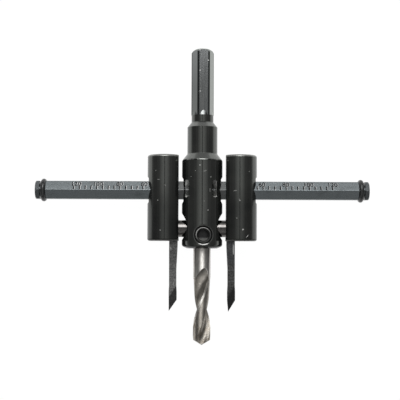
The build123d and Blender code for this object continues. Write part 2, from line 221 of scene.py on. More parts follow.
def wearAndHighlightSpots(tree, coords, spots, ragged):
    wearAndHighlight = None
    for x, y, halfLength, halfWidth, turn, strength in spots:
        size = (halfLength * mm, halfWidth * mm, 1)
        local = localTo(tree, coords, (x * mm, y * mm, axisZ), (0, 0, math.radians(turn)), size)
        away = plus(tree, fromAxis(tree, local), ragged)
        spot = rangeOf(tree, away, *spotFade, strength, 0, True)
        wearAndHighlight = spot if wearAndHighlight is None else larger(tree, wearAndHighlight, spot)
    return times(tree, wearAndHighlight, onFront(tree, coords))


# What every plain material ends with: its colour, and one pattern for roughness and relief
def finishWith(tree, shader, look, colour, pattern):
    plug(tree, colour, shader.inputs["Base Color"])
    plug(tree, spread(tree, pattern, *look["roughness"]), shader.inputs["Roughness"])
    plug(tree, bump(tree, pattern, *look["relief"]), shader.inputs["Normal"])
    shader.inputs["Metallic"].default_value = look["metal"]


def dress(material, *names):
    for name in names:
        slots = nodes[name].data.materials
        slots.clear()
        slots.append(material)


# Black oxide of the body, the holders and the lock screws
blackOxide = {
    "colour": (0.0075, 0.008, 0.008),
    "paler": (0.014, 0.014, 0.0135),
    "cloud": {"scale": 160.0, "detail": 4.0},
    "cloudSpan": (0.35, 0.7),
    "turned": {"scale": 3600.0, "detail": 2.0, "stretch": (0.03, 1, 0.03)},
    "turnedShare": 0.6,
    "grit": {"scale": 5200.0, "detail": 2.0},
    "gritShare": 0.4,
    "ragged": {"scale": 2600.0, "detail": 2.0},
    "raggedBy": 0.35,
    "wearAndHighlight": (0.6, 0.6, 0.58),
    "wornRoughness": 0.45,
    "wornMetal": 0.6,
    "rimReach": 0.0003,
    "rimPatches": {"scale": 420.0, "detail": 3.0},
    "rimSpan": (0.45, 0.7),
    "rimStrength": 0.2,
    "shine": 0.5,
    "dullShine": 0.07,
    "sheen": (0.955, 1.0, 0.935),
    "ior": 1.85,
    "relief": (0.03, 0.0001),
}
blackPieces = {
    "bodyBlackOxide": {
        "nodes": ("main_body",),
        "roughness": (0.06, 0.14),
        "rims": (0.015425, 0.018275, 0.029975),
        "dullRims": ((-0.0232, -0.0216), (0.015, 0.01528)),
        # Painted highlight along the collar's foot
        "highlightLines": ((0.0182, 0.0003, 0.3),),
        "spots": (
            (-4.76, 7.96, 0.28, 0.2, 0, 0.5), (3.64, 7.82, 0.3, 0.25, 0, 0.5),
            (-1.01, 12.81, 0.3, 0.25, 0, 0.6), (-2.93, 10.48, 0.3, 0.2, 30, 0.4),
            (1.35, 10.46, 0.9, 0.18, 20, 0.35), (2.49, -6.43, 0.3, 0.3, 0, 0.5),
            (3.31, 2.58, 0.25, 0.25, 0, 0.5), (3.32, 1.72, 0.25, 0.25, 0, 0.5),
            # The spots at (-6.3, -0.3) and (5.43, -0.15) are painted highlights on the windows' lit lower
            # rims
            (0.9, -2.6, 0.2, 0.2, 0, 0.4), (-6.3, -0.3, 0.8, 0.22, 0, 0.5),
            (5.43, -0.15, 0.85, 0.25, 0, 0.9), (-6.5, 6.4, 0.7, 0.3, 0, 0.3),
        ),
    },
    "holderBlackOxide": {
        "nodes": ("left_holder", "right_holder"),
        "roughness": (0.09, 0.17),
        "dullBelow": (-0.005, 0.006, 0.29),
        "rims": (-0.019625, 0.017775),
        "dullRims": ((-0.0197, -0.0187),),
        # Painted highlights along the holders' rounded top and bottom edges
        "highlightLines": ((0.0174, 0.0007, 0.27), (-0.0194, 0.0005, 0.12)),
        "spots": (
            (-19.96, 10.55, 0.25, 0.25, 0, 0.5), (-18.7, 6.7, 0.7, 0.15, -4, 0.35),
            (-15.9, 4.2, 0.5, 0.15, -70, 0.3), (-19.04, -2.17, 0.3, 0.3, 0, 0.45),
            (-17.91, -15.03, 0.3, 0.3, 0, 0.5), (20.29, 10.31, 0.3, 0.25, 0, 0.5),
            (14.2, 2.05, 0.8, 0.2, 12, 0.45), (16.18, -2.25, 0.3, 0.25, 0, 0.5),
            (14.92, -9.75, 0.25, 0.3, 0, 0.45), (17.5, -14.66, 0.35, 0.35, 0, 0.8),
            (19.46, -17.42, 0.9, 0.18, 48, 0.8), (16.0, -2.0, 0.15, 0.8, 10, 0.4),
        ),
    },
    "screwBlackOxide": {
        "nodes": ("bar_lock_screw", "left_lock_screw", "right_lock_screw"),
        "roughness": (0.06, 0.14),
        "rims": (),
        "dullRims": (),
        "spots": ((-0.5, 3.4, 0.4, 0.12, 35, 0.3),),
    },
}

# The body's own places: painted light on the shoulder's and collar's upper faces, painted light in the two
# windows on the bar and a painted highlight on the lower rim of the pilot screw's hole
litBodyTops = ((0.0156, 0.0184, (0.055, 0.057, 0.055)), (0.03, 0.0317, (0.08, 0.082, 0.08)))
# Painted light inside the windows: paler towards the top and brighter on the left, with a painted highlight
# at the foot
windowLightLook = {
    "left": {"x": (-0.0073, -0.0045), "lower": (0.18, 0.185, 0.18), "upper": (0.75, 0.76, 0.74)},
    "right": {"x": (0.0045, 0.0063), "lower": (0.1, 0.1, 0.095), "upper": (0.36, 0.36, 0.35)},
    "y": (-0.0011, 0.0069),
    "upperFrom": (0.0036, 0.0055),
    "footY": -0.0001,
    "foot": (0.42, 0.42, 0.4),
    "radius": 0.0087,
    "roughness": 0.5,
}
# Painted highlight on the lower side of the pilot hole's rim, which faces the lamps above
holeHighlightLook = {
    "radius": 0.00412,
    "reach": 0.0003,
    "litLowSide": (-0.0040, -0.0034),
    "highSideShare": 0.05,
    "colour": (0.95, 0.95, 0.93),
}

# The shank's worn grey steel, above the foot, with painted dark reflections along its corners, painted light
# on its right flat and a painted highlight towards its top
shankSteel = {
    "colour": (0.13, 0.136, 0.137),
    "paler": (0.141, 0.147, 0.144),
    "streaks": {"scale": 1700.0, "detail": 3.0, "stretch": (1, 0.04, 1)},
    "corner": (0.022, 0.024, 0.025),
    "cornerRadius": 0.0047,
    "cornerFade": 0.00006,
    "top": (0.21, 0.218, 0.222),
    "topFrom": (0.048, 0.0645),
    "topShare": 0.8,
    "litRightFlat": (0.3, 0.305, 0.305),
    "rightFlatX": 0.00295,
    "roughness": (0.12, 0.18),
    "relief": 0.03,
    "footY": 0.03523,
    "spots": (
        (-1.23, 63.5, 0.35, 0.3, 0, 0.9), (2.5, 59.0, 0.35, 0.3, 0, 0.8), (-1.19, 54.57, 0.3, 0.35, 0, 0.8),
        (-1.15, 45.46, 0.3, 0.3, 0, 0.7), (0.59, 64.4, 0.9, 0.2, 0, 0.8),
    ),
    "nick": (0.85, 0.85, 0.83),
}


# Painted light: the shoulder and collar tops, which face the lamps above, are made paler
def paintLitTops(tree, coords, skin):
    y = axesOf(tree, coords)[1]
    for low, high, litPale in litBodyTops:
        skin["colour"] = mixColour(tree, within(tree, y, low, high), skin["colour"], litPale)


# Paints light into the windows, where they are really in shade
def paintWindowLight(tree, coords, skin):
    x, y = axesOf(tree, coords)[0:2]
    sunk = below(tree, fromTool(tree, coords), windowLightLook["radius"])
    sunk = times(tree, sunk, within(tree, y, *windowLightLook["y"]))
    sunk = times(tree, sunk, onFront(tree, coords))
    upper = rangeOf(tree, y, *windowLightLook["upperFrom"], 0, 1)
    for side in ("left", "right"):
        look = windowLightLook[side]
        litWindow = times(tree, sunk, within(tree, x, *look["x"]))
        litInside = mixColour(tree, upper, look["lower"], look["upper"])
        litInside = mixColour(tree, below(tree, y, windowLightLook["footY"]), litInside, windowLightLook["foot"])
        skin["colour"] = mixColour(tree, litWindow, skin["colour"], litInside)
        skin["rough"] = mixNumber(tree, litWindow, skin["rough"], windowLightLook["roughness"])


def holeRimHighlight(tree, coords, skin):
    local = localTo(tree, coords, pilotPlace, pilotTurn)
    rim = nearLevels(tree, fromAxis(tree, local), (holeHighlightLook["radius"],), holeHighlightLook["reach"])
    rim = times(tree, rim, onFront(tree, coords))
    litLowSide = rangeOf(tree, axesOf(tree, local)[1], *holeHighlightLook["litLowSide"], 1, holeHighlightLook["highSideShare"], True)
    skin["colour"] = mixColour(tree, times(tree, rim, litLowSide), skin["colour"], holeHighlightLook["colour"])


def shankGround(tree, coords, skin):
    x, y = axesOf(tree, coords)[0:2]
    look = shankSteel
    onShank = above(tree, y, look["footY"])
    streaks = noise(tree, coords, **look["streaks"])
    ground = mixColour(tree, spread(tree, streaks, 0, 1), look["colour"], look["paler"])
    # Painted highlight towards the top, painted light on the right flat and painted dark reflections at the
    # corners
    ground = mixColour(tree, rangeOf(tree, y, *look["topFrom"], 0, look["topShare"]), ground, look["top"])
    ground = mixColour(tree, above(tree, x, look["rightFlatX"]), ground, look["litRightFlat"])
    inner, outer = (look["cornerRadius"] + side * look["cornerFade"] for side in (-1, 1))
    corners = rangeOf(tree, fromTool(tree, coords), inner, outer, 0, 1, True)
    ground = mixColour(tree, corners, ground, look["corner"])
    ground = mixColour(tree, wearAndHighlightSpots(tree, coords, look["spots"], skin["ragged"]), ground, look["nick"])
    skin["colour"] = mixColour(tree, onShank, skin["colour"], ground)
    skin["rough"] = mixNumber(tree, onShank, skin["rough"], spread(tree, streaks, *look["roughness"]))
    skin["metal"] = larger(tree, skin["metal"], onShank)
    skin["height"] = mixNumber(tree, onShank, skin["height"], times(tree, streaks, look["relief"]))


# Edge wear in patches, with painted highlight lines along some rounded edges
def edgeWearAndHighlights(tree, coords, look, wearAndHighlight):
    y = axesOf(tree, coords)[1]
    rims = nearLevels(tree, y, look["rims"], blackOxide["rimReach"])
    patches = noise(tree, coords, **blackOxide["rimPatches"])
    patches = rangeOf(tree, patches, *blackOxide["rimSpan"], 0, blackOxide["rimStrength"], True)
    wearAndHighlight = larger(tree, wearAndHighlight, times(tree, rims, patches))
    for level, reach, strength in look["highlightLines"]:
        wearAndHighlight = larger(tree, wearAndHighlight, times(tree, nearLevels(tree, y, (level,), reach), strength))
    return wearAndHighlight


def shineOf(tree, coords, look):
    y = axesOf(tree, coords)[1]
    shine = blackOxide["shine"]
    if "dullBelow" in look:
        foot, top, dull = look["dullBelow"]
        shine = rangeOf(tree, y, foot, top, dull, shine, True)
    for levels in look["dullRims"]:
        shine = mixNumber(tree, within(tree, y, *levels), shine, blackOxide["dullShine"])
    return shine


def makeBlack(name, look):
    material, tree, shader = newMaterial(name)
    coords = objectCoords(tree)
    cloud = noise(tree, coords, **blackOxide["cloud"])
    turned = noise(tree, coords, **blackOxide["turned"])
    grit = noise(tree, coords, **blackOxide["grit"])
    raggedBy = blackOxide["raggedBy"]
    ragged = spread(tree, noise(tree, coords, **blackOxide["ragged"]), -raggedBy, raggedBy)
    wearAndHighlight = wearAndHighlightSpots(tree, coords, look["spots"], ragged)
    if look["rims"]:
        wearAndHighlight = edgeWearAndHighlights(tree, coords, look, wearAndHighlight)
    cloud = rangeOf(tree, cloud, *blackOxide["cloudSpan"], 0, 1)
    colour = mixColour(tree, cloud, blackOxide["colour"], blackOxide["paler"])
    rough = spread(tree, turned, *look["roughness"])
    grain = times(tree, turned, blackOxide["turnedShare"])
    grain = plus(tree, grain, times(tree, grit, blackOxide["gritShare"]))
    # The pale wear colour also carries the painted highlight spots and lines
    skin = {
        "colour": mixColour(tree, wearAndHighlight, colour, blackOxide["wearAndHighlight"]),
        "rough": mixNumber(tree, wearAndHighlight, rough, blackOxide["wornRoughness"]),
        "metal": times(tree, wearAndHighlight, blackOxide["wornMetal"]),
        "height": minus(tree, grain, wearAndHighlight),
        "ragged": ragged,
    }
    if name == "bodyBlackOxide":
        for addPlace in (paintLitTops, paintWindowLight, holeRimHighlight, shankGround):
            addPlace(tree, coords, skin)
    feed(tree, shader.inputs["Specular IOR Level"], shineOf(tree, coords, look))
    shader.inputs["IOR"].default_value = blackOxide["ior"]
    shader.inputs["Specular Tint"].default_value = (*blackOxide["sheen"], 1.0)
    plug(tree, skin["colour"], shader.inputs["Base Color"])
    plug(tree, skin["rough"], shader.inputs["Roughness"])
    plug(tree, skin["metal"], shader.inputs["Metallic"])
    plug(tree, bump(tree, skin["height"], *blackOxide["relief"]), shader.inputs["Normal"])
    return material


for name, look in blackPieces.items():
    dress(makeBlack(name, look), *look["nodes"])

# Pilot screw: black, with a painted highlight on its rim, strongest to the upper left, and a socket painted
# dark as shade, with painted light low down
pilotLook = {
    "colour": (0.012, 0.0125, 0.012),
    "paler": (0.035, 0.035, 0.034),
    "palerShare": 0.5,
    "grit": {"scale": 3800.0, "detail": 3.0},
    "gritSpan": (0.4, 0.75),
    "rim": (0.36, 0.36, 0.35),
    "rimRadius": 0.0031,
    "rimReach": 0.0002,
    "rimSlant": 0.6,
    "rimFrom": (-0.0015, 0.0035),
    "rimLeast": 0.12,
    "socket": (0.006, 0.006, 0.006),
    "socketLit": (0.11, 0.11, 0.105),
    "litFrom": (-0.0014, -0.0006),
    "litRagged": 0.0006,
    "faceDepth": 0.0012,
    "roughness": (0.24, 0.38),
    "relief": (0.08, 0.0001),
    "metal": 0.0,
    "ior": 1.35,
}
pilotBlack, tree, shader = newMaterial("pilotScrewBlack")
coords = objectCoords(tree)
local = localTo(tree, coords, pilotPlace, pilotTurn)
across, up, depth = axesOf(tree, local)
grit = noise(tree, coords, **pilotLook["grit"])
paler = rangeOf(tree, grit, *pilotLook["gritSpan"], 0, pilotLook["palerShare"])
colour = mixColour(tree, paler, pilotLook["colour"], pilotLook["paler"])
# Painted shade in the socket, with painted light low down
lit = plus(tree, up, times(tree, grit, pilotLook["litRagged"]))
lit = rangeOf(tree, lit, *pilotLook["litFrom"], 1, 0, True)
socket = mixColour(tree, lit, pilotLook["socket"], pilotLook["socketLit"])
colour = mixColour(tree, below(tree, depth, pilotLook["faceDepth"]), colour, socket)
# Painted highlight on the rim, fading towards the lower right
rim = nearLevels(tree, fromAxis(tree, local), (pilotLook["rimRadius"],), pilotLook["rimReach"])
upLeft = minus(tree, up, times(tree, across, pilotLook["rimSlant"]))
rim = times(tree, rim, rangeOf(tree, upLeft, *pilotLook["rimFrom"], pilotLook["rimLeast"], 1, True))
colour = mixColour(tree, rim, colour, pilotLook["rim"])
finishWith(tree, shader, pilotLook, colour, grit)
shader.inputs["IOR"].default_value = pilotLook["ior"]
dress(pilotBlack, "pilot_screw")

# Cross bar: satin grey, drawn along its length and stained in clouds, with painted shade near the body,
# painted light in the windows and a painted shadow in the body's mouth
barLook = {
    "colour": (0.137, 0.152, 0.158),
    "paler": (0.151, 0.167, 0.173),
    "drawn": {"scale": 1300.0, "detail": 3.0, "stretch": (0.03, 1, 1)},
    "stain": (0.095, 0.104, 0.107),
    "cloud": {"scale": 260.0, "detail": 4.0, "roughness": 0.6, "stretch": (0.5, 1, 1)},
    "stainSpan": (0.5, 0.75),
    "stainShare": 0.6,
    "endCap": (0.075, 0.08, 0.083),
    "endCapX": 0.0699,
    "endCapShare": 0.85,
    "shadeNearBody": (0.09, 0.09, 0.088),
    "nearBodyX": (0.0098, 0.0108),
    "nearBodyShare": 0.8,
    "litInWindows": (((-0.0073, -0.0045), (0.9, 0.91, 0.9)), ((0.0045, 0.0066), (0.8, 0.8, 0.78))),
    "windowY": (0.004, 0.0056),
    "mouthX": (-0.0079, -0.0073),
    "mouthShadow": (0.006, 0.006, 0.006),
    "roughness": (0.25, 0.31),
    "relief": (0.008, 0.0001),
    "metal": 1.0,
}
barSteel, tree, shader = newMaterial("barSteel")
coords = objectCoords(tree)
axes = axesOf(tree, coords)
sideways = mathNode(tree, "ABSOLUTE", axes[0])
drawn = noise(tree, coords, **barLook["drawn"])
colour = mixColour(tree, spread(tree, drawn, 0, 1), barLook["colour"], barLook["paler"])
cloud = noise(tree, coords, **barLook["cloud"])
cloud = rangeOf(tree, cloud, *barLook["stainSpan"], 0, barLook["stainShare"], True)
colour = mixColour(tree, cloud, colour, barLook["stain"])
onCap = times(tree, above(tree, sideways, barLook["endCapX"]), barLook["endCapShare"])
colour = mixColour(tree, onCap, colour, barLook["endCap"])
# Painted shade near the body, painted light in the windows and a painted shadow in the body's mouth
shadeNearBody = times(tree, rangeOf(tree, sideways, *barLook["nearBodyX"], 1, 0, True), barLook["nearBodyShare"])
colour = mixColour(tree, shadeNearBody, colour, barLook["shadeNearBody"])
upper = rangeOf(tree, axes[1], *barLook["windowY"], 0, 1)
for sides, litInside in barLook["litInWindows"]:
    colour = mixColour(tree, times(tree, upper, within(tree, axes[0], *sides)), colour, litInside)
colour = mixColour(tree, within(tree, axes[0], *barLook["mouthX"]), colour, barLook["mouthShadow"])
finishWith(tree, shader, barLook, colour, drawn)
dress(barSteel, "cross_bar")

# Blades: dark steel with a speckled skin, darker where the point is ground, with painted shade over the right
# blade and painted light low on the left one, painted shade higher up
bladeLook = {
    "colour": (0.062, 0.062, 0.061),
    "paler": (0.17, 0.17, 0.166),
    "skin": {"scale": 1500.0, "detail": 5.0, "roughness": 0.65},
    "skinSpan": (0.38, 0.64),
    "pit": (0.02, 0.02, 0.02),
    "fine": {"scale": 3200.0, "detail": 3.0, "stretch": (1, 0.25, 1)},
    "pitSpan": (0.62, 0.72),
    "pitShare": 0.8,
    "blue": (0.075, 0.082, 0.094),
    "blueY": (-0.031, -0.018),
    "blueFade": 0.003,
    "blueShare": 0.35,
    "shadeOnRight": -0.45,
    "lightOnLeftY": (-0.036, -0.021),
    "lightOnLeft": (0.45, -0.2),
    "ground": (0.02, 0.0205, 0.021),
    "groundFoot": -0.044,
    "groundRise": 1.55,
    "groundFade": 0.0006,
    "groundShare": 0.8,
    "leftEdges": (-0.01435, 0.01095),
    "crossLine": (0.16, 0.165, 0.17),
    "crossLines": (-0.0321, -0.0369),
    "crossReach": 0.0003,
    "crossShare": 0.35,
    "raggedBy": 0.3,
    "spots": (
        (13.55, -23.1, 0.25, 3.2, 0, 0.75), (-13.5, -22.7, 0.4, 1.2, 8, 0.3),
        (-12.2, -38.0, 0.25, 1.0, -10, 0.25),
    ),
    "wearAndHighlight": (0.5, 0.5, 0.49),
    "roughness": (0.28, 0.46),
    "relief": (0.18, 0.0002),
    "metal": 1.0,
}
bladeSteel, tree, shader = newMaterial("bladeSteel")
coords = objectCoords(tree)
axes = axesOf(tree, coords)
skin = noise(tree, coords, **bladeLook["skin"])
fine = noise(tree, coords, **bladeLook["fine"])
paler = rangeOf(tree, skin, *bladeLook["skinSpan"], 0, 1)
colour = mixColour(tree, paler, bladeLook["colour"], bladeLook["paler"])
pits = rangeOf(tree, fine, *bladeLook["pitSpan"], 0, bladeLook["pitShare"])
colour = mixColour(tree, pits, colour, bladeLook["pit"])
onRight = above(tree, axes[0], 0.0)
blueLow, blueHigh = bladeLook["blueY"]
blueFade = bladeLook["blueFade"]
blueZone = rangeOf(tree, axes[1], blueLow, blueLow + blueFade, 0, bladeLook["blueShare"], True)
blueZone = times(tree, blueZone, rangeOf(tree, axes[1], blueHigh - blueFade, blueHigh, 1, 0, True))
colour = mixColour(tree, times(tree, blueZone, onRight), colour, bladeLook["blue"])
# Painted light and shade: the right blade darker, the left lighter low down and darker higher up
paintedLight = rangeOf(tree, axes[1], *bladeLook["lightOnLeftY"], *bladeLook["lightOnLeft"], True)
paintedLight = times(tree, minus(tree, 1.0, onRight), paintedLight)
paintedShade = plus(tree, times(tree, onRight, bladeLook["shadeOnRight"]), plus(tree, paintedLight, 1.0))
paintedShaded = tree.nodes.new("ShaderNodeVectorMath")
paintedShaded.operation = "SCALE"
plug(tree, colour, paintedShaded.inputs[0])
plug(tree, paintedShade, paintedShaded.inputs["Scale"])
colour = paintedShaded.outputs[0]
fromEdge = minus(tree, axes[0], mixNumber(tree, onRight, *bladeLook["leftEdges"]))
foot = mathNode(tree, "MULTIPLY_ADD", fromEdge, bladeLook["groundRise"], bladeLook["groundFoot"])
groundFade = bladeLook["groundFade"]
ground = rangeOf(tree, minus(tree, axes[1], foot), -groundFade, groundFade, 1, 0, True)
colour = mixColour(tree, times(tree, ground, bladeLook["groundShare"]), colour, bladeLook["ground"])
lines = nearLevels(tree, axes[1], bladeLook["crossLines"], bladeLook["crossReach"])
colour = mixColour(tree, times(tree, lines, bladeLook["crossShare"]), colour, bladeLook["crossLine"])
ragged = spread(tree, fine, -bladeLook["raggedBy"], bladeLook["raggedBy"])
colour = mixColour(tree, wearAndHighlightSpots(tree, coords, bladeLook["spots"], ragged), colour, bladeLook["wearAndHighlight"])
finishWith(tree, shader, bladeLook, colour, skin)
dress(bladeSteel, "left_blade", "right_blade")

# Pilot drill: warm ground steel, darker in the flutes, with straw-coloured stain down at the point
drillLook = {
    "colour": (0.62, 0.6, 0.565),
    "paler": (0.74, 0.72, 0.685),
    "cloud": {"scale": 420.0, "detail": 4.0, "roughness": 0.6},
    "turned": {"scale": 3200.0, "detail": 2.0, "stretch": (0.05, 1, 0.05)},
    "flute": (0.3, 0.28, 0.25),
    "flutePaler": (0.44, 0.415, 0.375),
    "marginRadius": 0.00371,
    "runOut": (0.1, 0.095, 0.086),
    "runOutY": (-0.0368, -0.0325),
    "runOutShare": 0.65,
    "stain": (0.24, 0.205, 0.165),
    "stainY": (-0.058, -0.046),
    "stainPatches": {"scale": 700.0, "detail": 4.0, "roughness": 0.6},
    "stainSpan": (0.42, 0.62),
    "stainShare": 0.75,
    "roughness": (0.39, 0.53),
    "relief": (0.04, 0.0001),
    "metal": 1.0,
    "drawnOut": 0.85,
    "grainTurn": 0.25,
}
drillSteel, tree, shader = newMaterial("drillSteel")
coords = objectCoords(tree)
y = axesOf(tree, coords)[1]
turned = noise(tree, coords, **drillLook["turned"])
cloud = spread(tree, noise(tree, coords, **drillLook["cloud"]), 0, 1)
colour = mixColour(tree, cloud, drillLook["colour"], drillLook["paler"])
flute = mixColour(tree, cloud, drillLook["flute"], drillLook["flutePaler"])
runOut = rangeOf(tree, y, *drillLook["runOutY"], 0, drillLook["runOutShare"], True)
flute = mixColour(tree, runOut, flute, drillLook["runOut"])
inFlute = below(tree, fromTool(tree, coords), drillLook["marginRadius"])
colour = mixColour(tree, inFlute, colour, flute)
low = rangeOf(tree, y, *drillLook["stainY"], 1, 0, True)
patches = noise(tree, coords, **drillLook["stainPatches"])
patches = rangeOf(tree, patches, *drillLook["stainSpan"], 0, drillLook["stainShare"], True)
colour = mixColour(tree, times(tree, low, patches), colour, drillLook["stain"])
finishWith(tree, shader, drillLook, colour, turned)
grain = tree.nodes.new("ShaderNodeTangent")
grain.direction_type = "RADIAL"
grain.axis = "Y"
plug(tree, grain.outputs[0], shader.inputs["Tangent"])
shader.inputs["Anisotropic"].default_value = drillLook["drawnOut"]
shader.inputs["Anisotropic Rotation"].default_value = drillLook["grainTurn"]
dress(drillSteel, "pilot_drill")

# Blade screws: turned round heads, brownish zinc
screwLook = {
    "colour": (0.095, 0.09, 0.087),
    "paler": (0.13, 0.125, 0.121),
    "rings": {"scale": 3200.0, "detail": 2.0, "stretch": (1, 0.06, 0.06)},
    "cloud": {"scale": 600.0, "detail": 3.0},
    "cloudSpan": (0.35, 0.65),
    "roughness": (0.08, 0.18),
    "relief": (0.1, 0.0001),
    "metal": 1.0,
}
zincScrew, tree, shader = newMaterial("zincScrew")
coords = objectCoords(tree)
rings = noise(tree, coords, **screwLook["rings"])
cloud = rangeOf(tree, noise(tree, coords, **screwLook["cloud"]), *screwLook["cloudSpan"], 0, 1)
colour = mixColour(tree, cloud, screwLook["colour"], screwLook["paler"])
finishWith(tree, shader, screwLook, colour, rings)
dress(zincScrew, "left_blade_screw", "right_blade_screw")

# End rings: dull black rubber
ringLook = {
    "colour": (0.008, 0.009, 0.009),
    "paler": (0.022, 0.023, 0.024),
    "skin": {"scale": 1800.0, "detail": 3.0},
    "roughness": (0.21, 0.33),
    "relief": (0.15, 0.0001),
    "metal": 0.0,
}
ringRubber, tree, shader = newMaterial("ringRubber")
skin = noise(tree, objectCoords(tree), **ringLook["skin"])
finishWith(tree, shader, ringLook, mixColour(tree, skin, ringLook["colour"], ringLook["paler"]), skin)
dress(ringRubber, "left_end_ring", "right_end_ring")
print("scene: materials made")

# The scale on the bar's upper front face: lines every 2.5 mm, a number every 10 mm of radius.
# The bar itself isn't cut: each line is a thin dark bar, hardly proud of the face, with a paler bar beside it
# as a painted highlight on its lip, paler on the left than on the right
scaleLook = {
    "step": 0.0025,
    "lineWidth": 0.00052,
    "lineLength": 0.0019,
    "lineStart": 0.00015,
    "lipWidth": 0.00024,
    "lipLift": 0.000004,
    "proud": 0.000012,
    "sunk": 0.00003,
    "right": {
        "first": 0.0238,
        "count": 14,
        "lipHighlight": 0.4,
        "numbers": ((25.9, "60"), (36.2, "80"), (46.0, "100"), (56.4, "120")),
    },
    "left": {
        "first": -0.0256,
        "count": 13,
        "lipHighlight": 0.6,
        "numbers": ((-25.1, "60"), (-35.7, "80"), (-45.1, "100"), (-54.6, "120")),
    },
    "numberHeight": 0.0022,
    "heightOfFont": 0.73,
    "numberStart": 0.0019,
    "numberLift": 0.000002,
    "numberLipShift": 0.0002,
    "numberLipLift": -0.000003,
    "stroke": 0.00005,
    "curveSteps": 3,
    "grain": {"scale": 2800.0, "detail": 3.0},
    "darkShare": 0.55,
    "groove": (0.012, 0.013, 0.014),
    "grooveRoughness": (0.52, 0.68),
    "lipRoughness": (0.22, 0.38),
}
barFlats = 0.00775  # across the bar's flats
faceTilt = math.radians(30)
faceNormal = Vector((0, math.sin(faceTilt), math.cos(faceTilt)))
faceUp = Vector((0, math.cos(faceTilt), -math.sin(faceTilt)))
faceHalfHeight = barFlats / 2 * math.tan(faceTilt)
faceFoot = Vector((0, barY, axisZ)) + faceNormal * barFlats / 2 - faceUp * faceHalfHeight


def engravedMaterial(name, colour, roughness):
    material, tree, shader = newMaterial(name)
    grain = noise(tree, objectCoords(tree), **scaleLook["grain"])
    dark = tuple(scaleLook["darkShare"] * part for part in colour)
    plug(tree, mixColour(tree, grain, dark, colour), shader.inputs["Base Color"])
    plug(tree, spread(tree, grain, *roughness), shader.inputs["Roughness"])
    shader.inputs["Metallic"].default_value = 1.0
    return material


grooveDark = engravedMaterial("scaleGroove", scaleLook["groove"], scaleLook["grooveRoughness"])
lipHighlights = {
    side: engravedMaterial(f"{side}ScaleLipHighlight", (scaleLook[side]["lipHighlight"],) * 3, scaleLook["lipRoughness"])
    for side in ("right", "left")
}


# A row of equal bars, set out along a line
def rowTree(name):
    tree = bpy.data.node_groups.new(name, "GeometryNodeTree")
    for label, kind in (
        ("Count", "NodeSocketInt"), ("Start", "NodeSocketVector"), ("Step", "NodeSocketVector"),
        ("Size", "NodeSocketVector"), ("Turn", "NodeSocketRotation"), ("Finish", "NodeSocketMaterial"),
    ):
        tree.interface.new_socket(name=label, in_out="INPUT", socket_type=kind)
    tree.interface.new_socket(name="Geometry", in_out="OUTPUT", socket_type="NodeSocketGeometry")
    given = tree.nodes.new("NodeGroupInput").outputs
    line = tree.nodes.new("GeometryNodeMeshLine")
    cube = tree.nodes.new("GeometryNodeMeshCube")
    setOut = tree.nodes.new("GeometryNodeInstanceOnPoints")
    real = tree.nodes.new("GeometryNodeRealizeInstances")
    finish = tree.nodes.new("GeometryNodeSetMaterial")
    result = tree.nodes.new("NodeGroupOutput")
    for source, target in (
        (given["Count"], line.inputs["Count"]),
        (given["Start"], line.inputs["Start Location"]),
        (given["Step"], line.inputs["Offset"]),
        (given["Size"], cube.inputs["Size"]),
        (line.outputs["Mesh"], setOut.inputs["Points"]),
        (cube.outputs["Mesh"], setOut.inputs["Instance"]),
        (given["Turn"], setOut.inputs["Rotation"]),
        (setOut.outputs["Instances"], real.inputs["Geometry"]),
        (real.outputs["Geometry"], finish.inputs["Geometry"]),
        (given["Finish"], finish.inputs["Material"]),
        (finish.outputs["Geometry"], result.inputs["Geometry"]),
    ):
        plug(tree, source, target)
    return tree


scaleRow = rowTree("scaleRow")


def plainMesh(thing):
    seen = thing.evaluated_get(bpy.context.evaluated_depsgraph_get())
    return bpy.data.meshes.new_from_object(seen)


def makeRow(name, **values):
    holder = bpy.data.objects.new(name, bpy.data.meshes.new(name))
    bpy.context.scene.collection.objects.link(holder)
    modifier = holder.modifiers.new("row", "NODES")
    modifier.node_group = scaleRow
    for socket in scaleRow.interface.items_tree:
        if socket.in_out == "INPUT":
            modifier[socket.identifier] = values[socket.name]
    plain = plainMesh(holder)
    bpy.data.objects.remove(holder)
    return plain


def placePiece(name, mesh, body):
    piece = bpy.data.objects.new(name, mesh)
    bpy.context.scene.collection.objects.link(piece)
    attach(piece, body)


thick = scaleLook["proud"] + scaleLook["sunk"]
middleLift = scaleLook["proud"] - thick / 2
lineMiddle = faceUp * (scaleLook["lineStart"] + scaleLook["lineLength"] / 2) + faceNormal * middleLift
lipShift = (scaleLook["lineWidth"] + scaleLook["lipWidth"]) / 2
for side, way in (("right", 1), ("left", -1)):
    look = scaleLook[side]
    for kind, width, shift, lift, material in (
        ("Lines", scaleLook["lineWidth"], 0, 0, grooveDark),
        ("Lips", scaleLook["lipWidth"], lipShift, scaleLook["lipLift"], lipHighlights[side]),
    ):
        start = faceFoot + lineMiddle + Vector((look["first"] + shift, 0, 0)) + faceNormal * lift
        mesh = makeRow(
            f"{side}{kind}",
            Count=look["count"],
            Start=tuple(start),
            Step=(way * scaleLook["step"], 0, 0),
            Size=(width, scaleLook["lineLength"], thick),
            Turn=(-faceTilt, 0, 0),
            Finish=material,
        )
        placePiece(f"scale_{side}_{kind.lower()}", mesh, "body")

# The scale's numbers: dark figures, with paler copies a little to the right and lower as painted highlights
# on their lips
faceFrame = Matrix((
    (1, 0, 0, 0),
    (0, faceUp.y, faceNormal.y, 0),
    (0, faceUp.z, faceNormal.z, 0),
    (0, 0, 0, 1),
))


